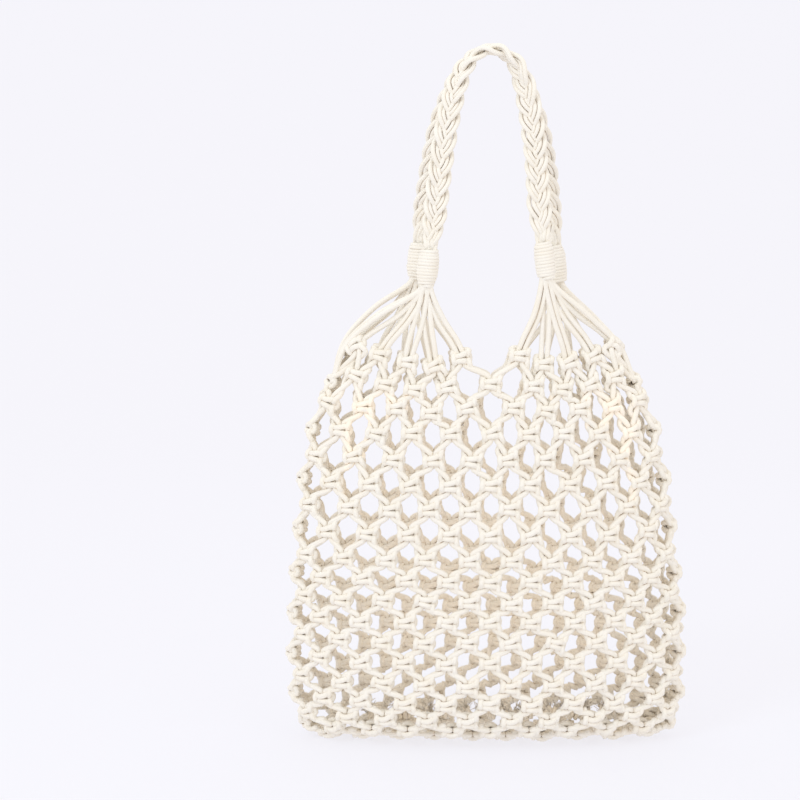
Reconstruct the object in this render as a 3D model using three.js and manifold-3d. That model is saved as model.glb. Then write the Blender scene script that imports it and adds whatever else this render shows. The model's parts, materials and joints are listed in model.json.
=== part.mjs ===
// A hand-knotted string shopping bag: a cotton net tote with two flat plaited handles.
// Millimetres, +Z up, +Y to the back. The origin is the point under the handles where the bag hangs.
import * as THREE from 'three';
import { mergeVertices } from 'three/addons/utils/BufferGeometryUtils.js';
import Module from 'manifold-3d';

const wasm = await Module();
wasm.setup();

// The cord and the clearance between pieces
const cordThick = 5;
const pieceGap = 0.3;

// The net
const netWidth = 350;
const netDepth = 106;
const netDrop = 345;
const netWall = 8;
const knotHeight = 17;
const knotsAround = 20;
const sideLean = 6;

// The handles
const handleDrop = 170;
const plaitWide = 20;
const plaitThick = 10;
const plaitPitch = 14.2;
const frontSpread = 50.5;
const backSpread = 60.5;
const frontShift = -3;
const backShift = -1.5;
const handleSpace = 24;
const collarSpace = 44;

// The wrapped collars and the fans below them
const collarLength = 36;
const wrapPitch = 4;
const wrapThick = 2.2;
const coreThick = 14;
const legLean = 4;
const frontRightLift = 7;
const backLeftLift = 3;
const fanDrop = 61;

// The cut ends gathered inside the bottom seam
const tailCount = 9;
const tailLength = 22;
const tailThick = 9;
const seamLength = 230;
const seamThick = 6;

// The drawn gaps of the net: columns around, rows down, and how much of each cell is open
const gapColumns = 12;
const gapRows = 10;
const openWide = 0.72;
const openHigh = 0.70;

// The net from its first row of knots down to the seam, in shares of its drop, width and depth
const wallSections = [
  { way: 0.00, drop: 0.000, wide: 0.710, deep: 0.49 },
  { way: 0.06, drop: 0.067, wide: 0.776, deep: 0.57 },
  { way: 0.12, drop: 0.130, wide: 0.840, deep: 0.64 },
  { way: 0.24, drop: 0.261, wide: 0.908, deep: 0.76 },
  { way: 0.36, drop: 0.391, wide: 0.948, deep: 0.84 },
  { way: 0.48, drop: 0.522, wide: 0.971, deep: 0.90 },
  { way: 0.58, drop: 0.632, wide: 0.990, deep: 0.95 },
  { way: 0.68, drop: 0.739, wide: 1.000, deep: 0.99 },
  { way: 0.77, drop: 0.843, wide: 1.000, deep: 1.00 },
  { way: 0.83, drop: 0.905, wide: 0.997, deep: 0.97 },
  { way: 0.88, drop: 0.950, wide: 0.988, deep: 0.90 },
  { way: 0.92, drop: 0.976, wide: 0.968, deep: 0.75 },
  { way: 0.96, drop: 0.992, wide: 0.925, deep: 0.48 },
  { way: 1.00, drop: 1.000, wide: 0.857, deep: 0.10 },
];

// How the fans gather the rim: a knot's place, from the middle of the front (0) to the side (5),
// its share of the way there, and how far it hangs below the first row, in knot heights
const rimGather = [
  { place: 0.0, share: 0.00, hang: 0.0 },
  { place: 0.5, share: 0.19, hang: 0.0 },
  { place: 1.5, share: 0.37, hang: 0.45 },
  { place: 2.5, share: 0.55, hang: 0.3 },
  { place: 3.5, share: 0.725, hang: 0.0 },
  { place: 4.5, share: 0.9, hang: -0.5 },
  { place: 5.0, share: 1.00, hang: 0.2 },
];
const gatherDepth = 0.2;

// The middle line of a handle's leg, from the hang point to the collar: shares of the front handle's
// spread, of what the back handle spreads further, and of the drop, and how far the plait has turned
const legPoints = [
  { out: 0.00, further: 0.00, down: 0.000, turn: 0.00 },
  { out: 0.18, further: 0.00, down: 0.009, turn: 0.06 },
  { out: 0.34, further: 0.00, down: 0.037, turn: 0.16 },
  { out: 0.475, further: 0.00, down: 0.079, turn: 0.30 },
  { out: 0.56, further: 0.02, down: 0.128, turn: 0.46 },
  { out: 0.65, further: 0.14, down: 0.205, turn: 0.68 },
  { out: 0.74, further: 0.46, down: 0.325, turn: 0.88 },
  { out: 0.80, further: 0.74, down: 0.452, turn: 0.98 },
  { out: 0.87, further: 0.97, down: 0.640, turn: 1.00 },
  { out: 0.93, further: 1.05, down: 0.840, turn: 1.00 },
  { out: 1.00, further: 1.00, down: 1.000, turn: 1.00 },
];

const quarterKnots = knotsAround / 4;
const rimHeight = -(handleDrop + collarLength + fanDrop);

// A smooth value of one column of a table at a place in another column
function readTable(table, key, column, place) {
  const last = table.length - 1;
  let i = 0;
  while (i < last - 1 && place > table[i + 1][key]) i += 1;
  const slope = (k) => {
    const a = table[Math.max(k - 1, 0)];
    const b = table[Math.min(k + 1, last)];
    return (b[column] - a[column]) / (b[key] - a[key]);
  };
  const low = table[i];
  const high = table[i + 1];
  const span = high[key] - low[key];
  const f = Math.min(Math.max((place - low[key]) / span, 0), 1);
  const cubic = 2 * f ** 3 - 3 * f ** 2;
  return (cubic + 1) * low[column] - cubic * high[column]
    + span * ((f ** 3 - 2 * f ** 2 + f) * slope(i) + (f ** 3 - f ** 2) * slope(i + 1));
}

function smoothStep(x) {
  const f = Math.min(Math.max(x, 0), 1);
  return f * f * (3 - 2 * f);
}

// A point of an oval a share of the way from the middle of its front to its side, by length
const quarterSteps = 48;
function quarterOval(halfWidth, halfDepth, share) {
  const lengths = [0];
  for (let k = 1; k <= quarterSteps; k += 1) {
    const a = ((k - 1) / quarterSteps) * (Math.PI / 2);
    const b = (k / quarterSteps) * (Math.PI / 2);
    const dx = halfWidth * (Math.sin(b) - Math.sin(a));
    const dy = halfDepth * (Math.cos(b) - Math.cos(a));
    lengths.push(lengths[k - 1] + Math.hypot(dx, dy));
  }
  const target = share * lengths[quarterSteps];
  let k = 1;
  while (k < quarterSteps && lengths[k] < target) k += 1;
  const f = (target - lengths[k - 1]) / (lengths[k] - lengths[k - 1]);
  const angle = ((k - 1 + f) / quarterSteps) * (Math.PI / 2);
  return [halfWidth * Math.sin(angle), halfDepth * Math.cos(angle)];
}

// A place around the net, in knots from the middle of the front: which side, which half, how far
function foldPlace(around) {
  const turn = ((around % knotsAround) + knotsAround) % knotsAround;
  const fromFront = Math.min(turn, knotsAround - turn);
  const side = turn <= knotsAround / 2 ? 1 : -1;
  const front = fromFront <= quarterKnots ? -1 : 1;
  const place = front < 0 ? fromFront : knotsAround / 2 - fromFront;
  return { side, front, place: place * (5 / quarterKnots) };
}

// The middle surface of the net: a place around in knots, and a way down from the first row
function wallMiddle(around, way) {
  const { side, front, place } = foldPlace(around);
  const gather = 1 - smoothStep(way / gatherDepth);
  const even = place / 5;
  const share = even + gather * (readTable(rimGather, 'place', 'share', place) - even);
  const hang = gather * readTable(rimGather, 'place', 'hang', place) * knotHeight;
  const level = Math.max(way, 0);
  const halfWidth = (netWidth / 2) * readTable(wallSections, 'way', 'wide', level);
  const halfDepth = (netDepth / 2) * readTable(wallSections, 'way', 'deep', level);
  const [out, deep] = quarterOval(halfWidth, halfDepth, Math.min(share, 1));
  const lean = sideLean * (1 - level) * (out / (netWidth / 2)) ** 2;
  const drop = netDrop * (readTable(wallSections, 'way', 'drop', level) + Math.min(way, 0));
  return new THREE.Vector3(side * out - lean, front * deep, rimHeight - drop - hang);
}

// The net's outward direction, from the middle surface on both sides of a place
function wallNormal(around, way) {
  const step = 0.02;
  const alongStep = 0.15;
  const low = Math.min(way, 1 - step);
  const across = wallMiddle(around + alongStep, low).sub(wallMiddle(around - alongStep, low));
  const down = wallMiddle(around, low + step).sub(wallMiddle(around, low));
  return down.cross(across).normalize();
}

// A point on the net a given distance outside its middle surface
function wallPoint(around, way, out) {
  return wallMiddle(around, way).addScaledVector(wallNormal(around, way), out);
}

// A closed mesh built point by point, whose faces are listed anticlockwise from outside
class SolidMesh {
  constructor() {
    this.points = [];
    this.faces = [];
  }

  add(point) {
    this.points.push(point.x, point.y, point.z);
    return this.points.length / 3 - 1;
  }

  triangle(a, b, c) {
    this.faces.push(a, b, c);
  }

  quad(a, b, c, d) {
    this.triangle(a, b, c);
    this.triangle(a, c, d);
  }

  geometry() {
    const geometry = new THREE.BufferGeometry();
    geometry.setAttribute('position', new THREE.Float32BufferAttribute(this.points, 3));
    geometry.setIndex(this.faces);
    return geometry;
  }
}

// The manifold-3d solid of a geometry, and the geometry of a solid
function toSolid(geometry) {
  const bare = geometry.clone();
  bare.deleteAttribute('normal');
  bare.deleteAttribute('uv');
  const merged = mergeVertices(bare, 1e-4);
  return new wasm.Manifold(new wasm.Mesh({
    numProp: 3,
    vertProperties: new Float32Array(merged.attributes.position.array),
    triVerts: new Uint32Array(merged.index.array),
  }));
}

function toGeometry(solid) {
  const mesh = solid.getMesh();
  const geometry = new THREE.BufferGeometry();
  geometry.setAttribute('position', new THREE.Float32BufferAttribute(mesh.vertProperties, 3));
  geometry.setIndex(Array.from(mesh.triVerts));
  return geometry;
}

// The rim's edge: each first-row knot stands up as a flat-topped head, with a dip between knots
const headHalf = 0.24;
const headWay = -knotHeight / 2 / netDrop;
const dipWay = knotHeight * 0.55 / netDrop;
const sideDipWay = knotHeight * 1.4 / netDrop;
function rimEdge() {
  const edge = [];
  for (let k = 0; k < knotsAround; k += 1) {
    const atSide = k % (knotsAround / 2) === quarterKnots;
    if (atSide) {
      edge.push({ around: k - headHalf / 2, way: sideDipWay });
      edge.push({ around: k + headHalf / 2, way: sideDipWay });
    } else {
      edge.push({ around: k, way: dipWay });
    }
    edge.push({ around: k + 0.5 - headHalf, way: headWay });
    edge.push({ around: k + 0.5 + headHalf, way: headWay });
  }
  return edge;
}

// Joins two rings that run the same way round, the first above the second, seen from outside
function bridgeRings(mesh, upper, lower, flip) {
  let i = 0;
  let j = 0;
  const place = (ring, k) => ring[k % ring.length].around + (k >= ring.length ? knotsAround : 0);
  const face = (a, b, c) => (flip ? mesh.triangle(a, c, b) : mesh.triangle(a, b, c));
  while (i < upper.length || j < lower.length) {
    const nextUp = i < upper.length ? place(upper, i + 1) : Infinity;
    const nextLow = j < lower.length ? place(lower, j + 1) : Infinity;
    const a = upper[i % upper.length].index;
    const b = lower[j % lower.length].index;
    if (nextUp <= nextLow) {
      face(a, b, upper[(i + 1) % upper.length].index);
      i += 1;
    } else {
      face(a, b, lower[(j + 1) % lower.length].index);
      j += 1;
    }
  }
}

// The grid of gaps starts below the rim's dips and ends where the net turns under
const gapTop = 0.068;
const gapBottom = 0.885;
const gapStep = (gapBottom - gapTop) / (gapRows + 1 / 3);
const knotsPerGap = knotsAround / gapColumns;

function gapWay(row) {
  return gapTop + (row + 2 / 3) * gapStep;
}

// The six corners of a cell, anticlockwise from outside, in half columns and thirds of a row
const cellCorners = [
  { side: 0, third: -2 },
  { side: -1, third: -1 },
  { side: -1, third: 1 },
  { side: 0, third: 2 },
  { side: 1, third: 1 },
  { side: 1, third: -1 },
];

// How high the grid's top edge stands at a half column, in thirds of a row
function topThird(half) {
  return half % 2 === 0 ? -1 : -2;
}

// One skin of the net: its six-sided cells, each with an open middle, at one distance out
function netSkin(mesh, out, flip) {
  const shared = new Map();
  const corner = (half, third) => {
    const turn = ((half % (2 * gapColumns)) + 2 * gapColumns) % (2 * gapColumns);
    const name = `${turn}/${third}`;
    if (!shared.has(name)) {
      const around = turn * knotsPerGap / 2;
      const index = mesh.add(wallPoint(around, gapWay(third / 3), out));
      shared.set(name, { index, around });
    }
    return shared.get(name);
  };
  const holes = [];
  for (let row = 0; row < gapRows; row += 1) {
    for (let column = 0; column < gapColumns; column += 1) {
      const half = 2 * column + ((row + 1) % 2);
      const around = half * knotsPerGap / 2;
      const hole = cellCorners.map((c) => mesh.add(wallPoint(
        around + c.side * openWide * knotsPerGap / 2,
        gapWay(row + c.third / 3 * openHigh),
        out,
      )));
      holes.push(hole);
      for (let k = 0; k < 6; k += 1) {
        const next = (k + 1) % 6;
        const a = corner(half + cellCorners[k].side, 3 * row + cellCorners[k].third).index;
        const b = corner(half + cellCorners[next].side, 3 * row + cellCorners[next].third).index;
        if (flip) mesh.quad(a, hole[k], hole[next], b);
        else mesh.quad(a, b, hole[next], hole[k]);
      }
    }
  }
  const lastRow = gapRows - 1;
  const topRing = [];
  const lowRing = [];
  for (let half = 0; half < 2 * gapColumns; half += 1) {
    topRing.push(corner(half, topThird(half)));
    lowRing.push(corner(half, 3 * lastRow + ((half + lastRow) % 2 === 0 ? 1 : 2)));
  }
  const rim = rimEdge().map((e) => ({ around: e.around, index: mesh.add(wallPoint(e.around, e.way, out)) }));
  bridgeRings(mesh, rim, topRing, flip);
  return { holes, rim, lowRing };
}

// The turned-under bottom of one skin: rings down to the seam, then a strip from front to back
const bottomWays = [0.93, 0.965, 0.99];
function netBottom(mesh, ring, out, flip) {
  let above = ring;
  for (const way of bottomWays) {
    const below = above.map((r) => ({ around: r.around, index: mesh.add(wallPoint(r.around, way, out)) }));
    bridgeRings(mesh, above, below, flip);
    above = below;
  }
  const count = above.length;
  const quarter = count / 4;
  for (let k = 0; k < 2 * quarter; k += 1) {
    const frontA = above[(quarter - k + count) % count].index;
    const frontB = above[(quarter - k - 1 + count) % count].index;
    const backA = above[(quarter + k) % count].index;
    const backB = above[(quarter + k + 1) % count].index;
    const corners = [frontB, backB, backA, frontA].filter((c, i, all) => all.indexOf(c) === i);
    if (flip) corners.reverse();
    mesh.triangle(corners[0], corners[1], corners[2]);
    if (corners.length === 4) mesh.triangle(corners[0], corners[2], corners[3]);
  }
}

// The knotted net: an outer and an inner skin joined round the rim and through every gap
function netBody() {
  const mesh = new SolidMesh();
  const outer = netSkin(mesh, netWall / 2, false);
  const inner = netSkin(mesh, -netWall / 2, true);
  outer.rim.forEach((a, k) => {
    const next = (k + 1) % outer.rim.length;
    mesh.quad(inner.rim[k].index, a.index, outer.rim[next].index, inner.rim[next].index);
  });
  outer.holes.forEach((hole, h) => {
    const back = inner.holes[h];
    hole.forEach((a, k) => {
      const next = (k + 1) % hole.length;
      mesh.quad(a, hole[next], back[next], back[k]);
    });
  });
  netBottom(mesh, outer.lowRing, netWall / 2, false);
  netBottom(mesh, inner.lowRing, -netWall / 2, true);
  return mesh.geometry();
}

// The rim grown by the clearance, used to trim the cords that come down on it
function rimCutter() {
  const mesh = new SolidMesh();
  const skins = [netWall / 2 + pieceGap, -netWall / 2 - pieceGap].map((out, s) => {
    const top = rimEdge().map((e) => {
      const point = wallPoint(e.around, e.way, out);
      point.z += pieceGap * 1.5;
      return { around: e.around, index: mesh.add(point) };
    });
    const middle = [];
    const low = [];
    for (let half = 0; half < 2 * gapColumns; half += 1) {
      const around = half * knotsPerGap / 2;
      const way = gapWay(topThird(half) / 3);
      middle.push({ around, index: mesh.add(wallPoint(around, way, out)) });
      low.push({ around, index: mesh.add(wallPoint(around, way + gapStep / 3, out)) });
    }
    bridgeRings(mesh, top, middle, s === 1);
    bridgeRings(mesh, middle, low, s === 1);
    return { top, low };
  });
  const [outer, inner] = skins;
  outer.top.forEach((a, k) => {
    const next = (k + 1) % outer.top.length;
    mesh.quad(inner.top[k].index, a.index, outer.top[next].index, inner.top[next].index);
  });
  outer.low.forEach((a, k) => {
    const next = (k + 1) % outer.low.length;
    mesh.quad(a.index, inner.low[k].index, inner.low[next].index, outer.low[next].index);
  });
  return toSolid(mesh.geometry());
}

// A closed tube through rings of points, each ring listed the same way round
function loft(rings) {
  const mesh = new SolidMesh();
  const indices = rings.map((ring) => ring.map((p) => mesh.add(p)));
  const sides = rings[0].length;
  for (let r = 0; r < rings.length - 1; r += 1) {
    for (let k = 0; k < sides; k += 1) {
      const next = (k + 1) % sides;
      mesh.quad(indices[r][k], indices[r][next], indices[r + 1][next], indices[r + 1][k]);
    }
  }
  const first = indices[0];
  const final = indices[rings.length - 1];
  for (let k = 1; k < sides - 1; k += 1) {
    mesh.triangle(first[0], first[k + 1], first[k]);
    mesh.triangle(final[0], final[k], final[k + 1]);
  }
  return mesh.geometry();
}

// A ring of points around a centre, given its two half axes as vectors
function ringAt(centre, half, other, sides) {
  const ring = [];
  for (let k = 0; k < sides; k += 1) {
    const angle = ((k + 0.5) / sides) * 2 * Math.PI;
    ring.push(centre.clone()
      .addScaledVector(half, Math.cos(angle))
      .addScaledVector(other, Math.sin(angle)));
  }
  return ring;
}

// The four legs: which side of the bag, which handle, and how far each collar hangs aside and higher
const legs = [
  { name: 'front_left', side: -1, front: -1, spread: frontSpread, shift: frontShift, lift: 0 },
  { name: 'front_right', side: 1, front: -1, spread: frontSpread, shift: frontShift, lift: frontRightLift },
  { name: 'back_right', side: 1, front: 1, spread: backSpread, shift: backShift, lift: 0 },
  { name: 'back_left', side: -1, front: 1, spread: backSpread, shift: backShift, lift: backLeftLift },
];

// The collar's axis: its top and bottom, the bottom leaning outwards
function collarAxis(leg) {
  const y = leg.front * collarSpace / 2;
  const z = leg.lift - handleDrop;
  const top = new THREE.Vector3(leg.side * leg.spread + leg.shift, y, z);
  const bottom = new THREE.Vector3(leg.side * (leg.spread + legLean) + leg.shift, y, z - collarLength);
  const down = bottom.clone().sub(top).normalize();
  return { top, bottom, down };
}

// The cords inside a collar as one core, and the six pairs that fan out below it to the rim
const coreSides = 10;
const barSides = 6;
const barSteps = 3;
// How the pair to the side knot bows: it hangs fuller on the left than on the right
const sideCord = {
  '-1': { bendOut: 0.53, bendDown: 0.28, elbowOut: 0.86, elbowDown: 0.6 },
  1: { bendOut: 0.52, bendDown: 0.30, elbowOut: 0.86, elbowDown: 0.60 },
};
function fan(leg, cutter) {
  const { top, bottom, down } = collarAxis(leg);
  const depth = new THREE.Vector3(0, 1, 0);
  const across = depth.clone().cross(down).normalize();
  const coreRadius = coreThick / 2;
  const ringOfCore = (centre, grow) => ringAt(
    centre,
    across.clone().multiplyScalar(coreRadius * grow),
    down.clone().cross(across).multiplyScalar(coreRadius * grow),
    coreSides,
  );
  const tip = bottom.clone().addScaledVector(down, coreThick * 0.35);
  let solid = toSolid(loft([ringOfCore(top, 1), ringOfCore(bottom, 1), ringOfCore(tip, 0.75)]));
  for (let pair = 0; pair <= quarterKnots; pair += 1) {
    const atSide = pair === quarterKnots;
    const place = atSide ? quarterKnots : pair + 0.5;
    const fromFront = leg.front < 0 ? place : knotsAround / 2 - place;
    const around = leg.side * fromFront;
    const way = atSide ? sideDipWay : headWay;
    const end = wallMiddle(around, way + cordThick * 0.35 / netDrop);
    if (atSide) end.y += leg.front * cordThick * 0.95;
    const spreadShare = (place / quarterKnots - 0.5) * 2;
    const start = bottom.clone()
      .addScaledVector(down, pieceGap)
      .addScaledVector(depth.clone().cross(down), -leg.side * spreadShare * coreRadius * 0.55);
    const bend = bottom.clone().lerp(end, 0.4);
    const side = sideCord[leg.side];
    bend.z = bottom.z + (end.z - bottom.z) * (atSide ? side.bendDown : 0.45);
    bend.x = bottom.x + (end.x - bottom.x) * (atSide ? side.bendOut : 0.37);
    const elbow = bottom.clone().lerp(end, 0.8);
    if (atSide) {
      elbow.x = bottom.x + (end.x - bottom.x) * side.elbowOut;
      elbow.z = bottom.z + (end.z - bottom.z) * side.elbowDown;
      elbow.y = end.y + leg.front * cordThick * 0.2;
    }
    const route = new THREE.CatmullRomCurve3([start, bend, elbow, end]);
    const rings = [];
    for (let step = 0; step <= barSteps; step += 1) {
      const f = step / barSteps;
      const tangent = step === 0 ? down.clone() : route.getTangent(f);
      const level = wallNormal(around, 0.01);
      const wide = tangent.clone().cross(level).normalize();
      const thick = tangent.clone().cross(wide).normalize();
      const halfWide = cordThick * (0.6 + 0.35 * smoothStep(2 * f));
      const halfThick = cordThick * 0.55;
      rings.push(ringAt(
        route.getPoint(f),
        wide.multiplyScalar(atSide ? halfThick : halfWide),
        thick.multiplyScalar(halfThick),
        barSides,
      ));
    }
    solid = solid.add(toSolid(loft(rings)));
  }
  // Where the rim cuts a bar's end right through, the loose crumb beyond the cut is dropped
  const trimmed = solid.subtract(cutter).decompose();
  trimmed.sort((a, b) => b.volume() - a.volume());
  return toGeometry(trimmed[0]);
}

// A collar: a ring of wrapped turns with a bore around the core
const collarSides = 10;
function collar(leg) {
  const { bottom, top } = collarAxis(leg);
  const length = top.distanceTo(bottom);
  const turns = Math.round(length / wrapPitch);
  const bore = coreThick / 2 / Math.cos(Math.PI / collarSides) + pieceGap;
  const outer = bore + wrapThick;
  const groove = outer - wrapThick * 0.3;
  const profile = [new THREE.Vector2(bore, 0), new THREE.Vector2(groove, 0)];
  for (let turn = 0; turn < turns; turn += 1) {
    profile.push(new THREE.Vector2(outer, (turn + 0.5) * length / turns));
    profile.push(new THREE.Vector2(groove, (turn + 1) * length / turns));
  }
  profile.push(new THREE.Vector2(bore, length));
  profile.push(new THREE.Vector2(bore, 0));
  const geometry = new THREE.LatheGeometry(profile, collarSides);
  geometry.rotateX(Math.PI / 2);
  return geometry;
}

// A handle: a flat plait with scalloped edges that turns from flat over the hang point
// to facing front at the collars
const plaitSteps = 60;
const collarEase = 0.08;
function handle(front) {
  const hangHeight = plaitThick / 2;
  const half = (side) => {
    const { top, down } = collarAxis(legs.find((leg) => leg.side === side && leg.front === front));
    const foot = top.addScaledVector(down, -pieceGap);
    const shift = front < 0 ? frontShift : backShift;
    const further = front < 0 ? 0 : backSpread - frontSpread;
    const lean = foot.x - side * (frontSpread + further) - shift;
    const points = legPoints.map((p) => ({
      point: new THREE.Vector3(
        side * (p.out * frontSpread + p.further * further) + p.down * (shift + lean),
        front * (handleSpace / 2 + p.down * (collarSpace - handleSpace) / 2),
        hangHeight + p.down * (foot.z - hangHeight),
      ),
      turn: side * p.turn,
    }));
    return { points, down };
  };
  const right = half(1);
  const left = half(-1);
  const all = [...left.points.slice(1).reverse(), ...right.points];
  const route = new THREE.CatmullRomCurve3(all.map((h) => h.point), false, 'centripetal');
  const turns = new THREE.CatmullRomCurve3(all.map((h) => new THREE.Vector3(h.turn, 0, 0)), false, 'centripetal');
  const scallops = Math.round(route.getLength() / plaitPitch);
  const rings = [];
  for (let step = 0; step <= plaitSteps; step += 1) {
    const f = step / plaitSteps;
    const centre = route.getPoint(f);
    const tangent = route.getTangent(f);
    if (step === 0) tangent.copy(left.down).negate();
    if (step === plaitSteps) tangent.copy(right.down);
    const depth = new THREE.Vector3(0, 1, 0);
    const up = depth.clone().cross(tangent).normalize();
    const flat = tangent.clone().cross(up).normalize();
    const angle = -front * turns.getPoint(f).x * Math.PI / 2;
    const wide = flat.clone().multiplyScalar(Math.cos(angle)).addScaledVector(up, Math.sin(angle));
    const thick = up.clone().multiplyScalar(Math.cos(angle)).addScaledVector(flat, -Math.sin(angle));
    const phase = (f * scallops) % 1;
    const ease = smoothStep(Math.min(f, 1 - f) / collarEase);
    const taper = 0.72 + 0.28 * ease;
    const rightEdge = 1 - 0.12 * Math.abs(phase - 0.5) * 2;
    const leftEdge = 1 - 0.12 * (1 - Math.abs(phase - 0.5) * 2);
    const w = (plaitWide / 2) * taper;
    const h = plaitThick / 2;
    const at = (u, v) => centre.clone().addScaledVector(wide, u * w).addScaledVector(thick, v * h);
    rings.push([
      at(0.5, -1), at(-0.5, -1), at(-leftEdge, -0.28), at(-leftEdge, 0.28),
      at(-0.5, 1), at(0.5, 1), at(rightEdge, 0.28), at(rightEdge, -0.28),
    ]);
  }
  return loft(rings);
}

// The seam inside the bottom with the cut cord ends standing up from it as small tufts
const tuftSides = 6;
function seamTails() {
  const floor = wallPoint(0, bottomWays[bottomWays.length - 1], -netWall / 2).z + pieceGap;
  const middle = new THREE.Vector3(0, 0, floor + seamThick / 2);
  const along = (x, grow) => ringAt(
    new THREE.Vector3(x, 0, middle.z),
    new THREE.Vector3(0, seamThick * grow, 0),
    new THREE.Vector3(0, 0, seamThick / 2 * grow),
    8,
  );
  const halfSeam = seamLength / 2;
  let solid = toSolid(loft([
    along(-halfSeam, 0.6), along(-halfSeam * 0.97, 1), along(halfSeam * 0.97, 1), along(halfSeam, 0.6),
  ]));
  for (let k = 0; k < tailCount; k += 1) {
    const place = ((k + 0.5) / tailCount - 0.5) * seamLength * 0.94;
    const tip = new THREE.Vector3(0.35 * Math.sin(2.4 * k), 0.5 * Math.cos(1.7 * k), 1).normalize();
    const levels = [
      { up: 0, grow: 0.55 },
      { up: 0.35, grow: 0.8 },
      { up: 0.85, grow: 1 },
      { up: 1, grow: 0.7 },
    ];
    const rings = levels.map((level) => ringAt(
      new THREE.Vector3(place, 0, middle.z).addScaledVector(tip, level.up * tailLength),
      new THREE.Vector3(tailThick / 2 * level.grow, 0, 0),
      new THREE.Vector3(0, tailThick / 2 * level.grow, 0),
      tuftSides,
    ));
    solid = solid.add(toSolid(loft(rings)));
  }
  return toGeometry(solid);
}

// The finishes: natural cotton, a little paler where it is wrapped
function cotton(colour, roughness) {
  return new THREE.MeshStandardMaterial({ color: colour, roughness, metalness: 0 });
}
const netCotton = cotton(0xf2ebdc, 0.9);
const plaitCotton = cotton(0xf4eee0, 0.88);
const wrapCotton = cotton(0xf5f0e4, 0.88);
const tailCotton = cotton(0xefe6d4, 0.95);

function addPiece(parent, name, geometry, material) {
  const mesh = new THREE.Mesh(geometry, material);
  mesh.name = name;
  parent.add(mesh);
  return mesh;
}

const group = new THREE.Group();
group.name = 'string_shopping_bag';

addPiece(group, 'net_body', netBody(), netCotton);
addPiece(group, 'handle_front', handle(-1), plaitCotton);
addPiece(group, 'handle_back', handle(1), plaitCotton);

const cutter = rimCutter();
for (const leg of legs) {
  const { bottom, down } = collarAxis(leg);
  addPiece(group, `fan_${leg.name}`, fan(leg, cutter), plaitCotton);
  const ring = addPiece(group, `collar_${leg.name}`, collar(leg), wrapCotton);
  ring.position.copy(bottom);
  ring.quaternion.setFromUnitVectors(new THREE.Vector3(0, 0, 1), down.clone().negate());
}

addPiece(group, 'seam_tails', seamTails(), tailCotton);

export default group;
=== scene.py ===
import json
import math

import bpy
import numpy as np
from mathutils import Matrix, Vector

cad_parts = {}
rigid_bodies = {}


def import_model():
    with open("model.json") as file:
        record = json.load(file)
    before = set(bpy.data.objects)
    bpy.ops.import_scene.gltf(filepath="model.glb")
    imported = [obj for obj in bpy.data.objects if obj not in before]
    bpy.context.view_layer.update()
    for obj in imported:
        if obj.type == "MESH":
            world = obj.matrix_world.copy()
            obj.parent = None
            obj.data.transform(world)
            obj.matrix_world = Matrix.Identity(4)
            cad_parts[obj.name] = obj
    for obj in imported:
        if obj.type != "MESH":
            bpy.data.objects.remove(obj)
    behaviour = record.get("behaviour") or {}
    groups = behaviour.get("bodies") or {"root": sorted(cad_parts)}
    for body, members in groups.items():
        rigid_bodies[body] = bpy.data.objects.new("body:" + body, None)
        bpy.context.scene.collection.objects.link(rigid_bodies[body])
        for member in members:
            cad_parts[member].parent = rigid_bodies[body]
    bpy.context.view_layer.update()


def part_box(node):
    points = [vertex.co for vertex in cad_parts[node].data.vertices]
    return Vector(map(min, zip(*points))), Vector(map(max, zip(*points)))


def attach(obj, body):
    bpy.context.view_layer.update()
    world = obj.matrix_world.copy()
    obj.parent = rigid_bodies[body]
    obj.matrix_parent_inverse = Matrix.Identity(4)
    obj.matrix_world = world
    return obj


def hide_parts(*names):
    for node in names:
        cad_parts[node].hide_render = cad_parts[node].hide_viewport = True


bl_info = {
    "name": "Knotted String Shopping Bag",
    "version": (1, 0, 0),
    "blender": (4, 5, 0),
    "location": "3D View > Sidebar > String Bag",
    "description": "Knots, plaits and wraps a cotton net shopping bag around its packed frame",
    "category": "Add Mesh",
}

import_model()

# Lengths inside the functions are millimetres, and meshes are written in metres
METRE = 0.001
BODY = "root"

# How finely a cord's smooth path is worked out between two of its points
PATH_FINENESS = 6


def node_bottom(node):
    """The height of a solid's lowest point"""
    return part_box(node)[0][2] / METRE


# The net from its first row of knots down to the seam, in shares of its drop, width and depth
WALL_WAY = (0.0, 0.06, 0.12, 0.24, 0.36, 0.48, 0.58, 0.68, 0.77, 0.83, 0.88, 0.92, 0.96, 1.0)
WALL_DROP = (0.0, 0.067, 0.130, 0.261, 0.391, 0.522, 0.632, 0.739, 0.843, 0.905, 0.950, 0.976, 0.992, 1.0)
WALL_WIDE = (0.710, 0.776, 0.840, 0.906, 0.944, 0.971, 0.990, 1.0, 1.0, 0.992, 0.972, 0.945, 0.910, 0.870)
WALL_DEEP = (0.49, 0.57, 0.64, 0.76, 0.84, 0.90, 0.95, 0.99, 1.0, 0.97, 0.90, 0.75, 0.48, 0.10)

# How the fans gather the rim: places from the middle of the front (0) to the side (5)
GATHER_PLACE = (0.0, 0.5, 1.5, 2.5, 3.5, 4.5, 5.0)
GATHER_SHARE = (0.0, 0.19, 0.37, 0.55, 0.725, 0.9, 1.0)
GATHER_HANG = (0.0, 0.0, 0.45, 0.3, 0.0, -0.5, 0.2)

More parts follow.
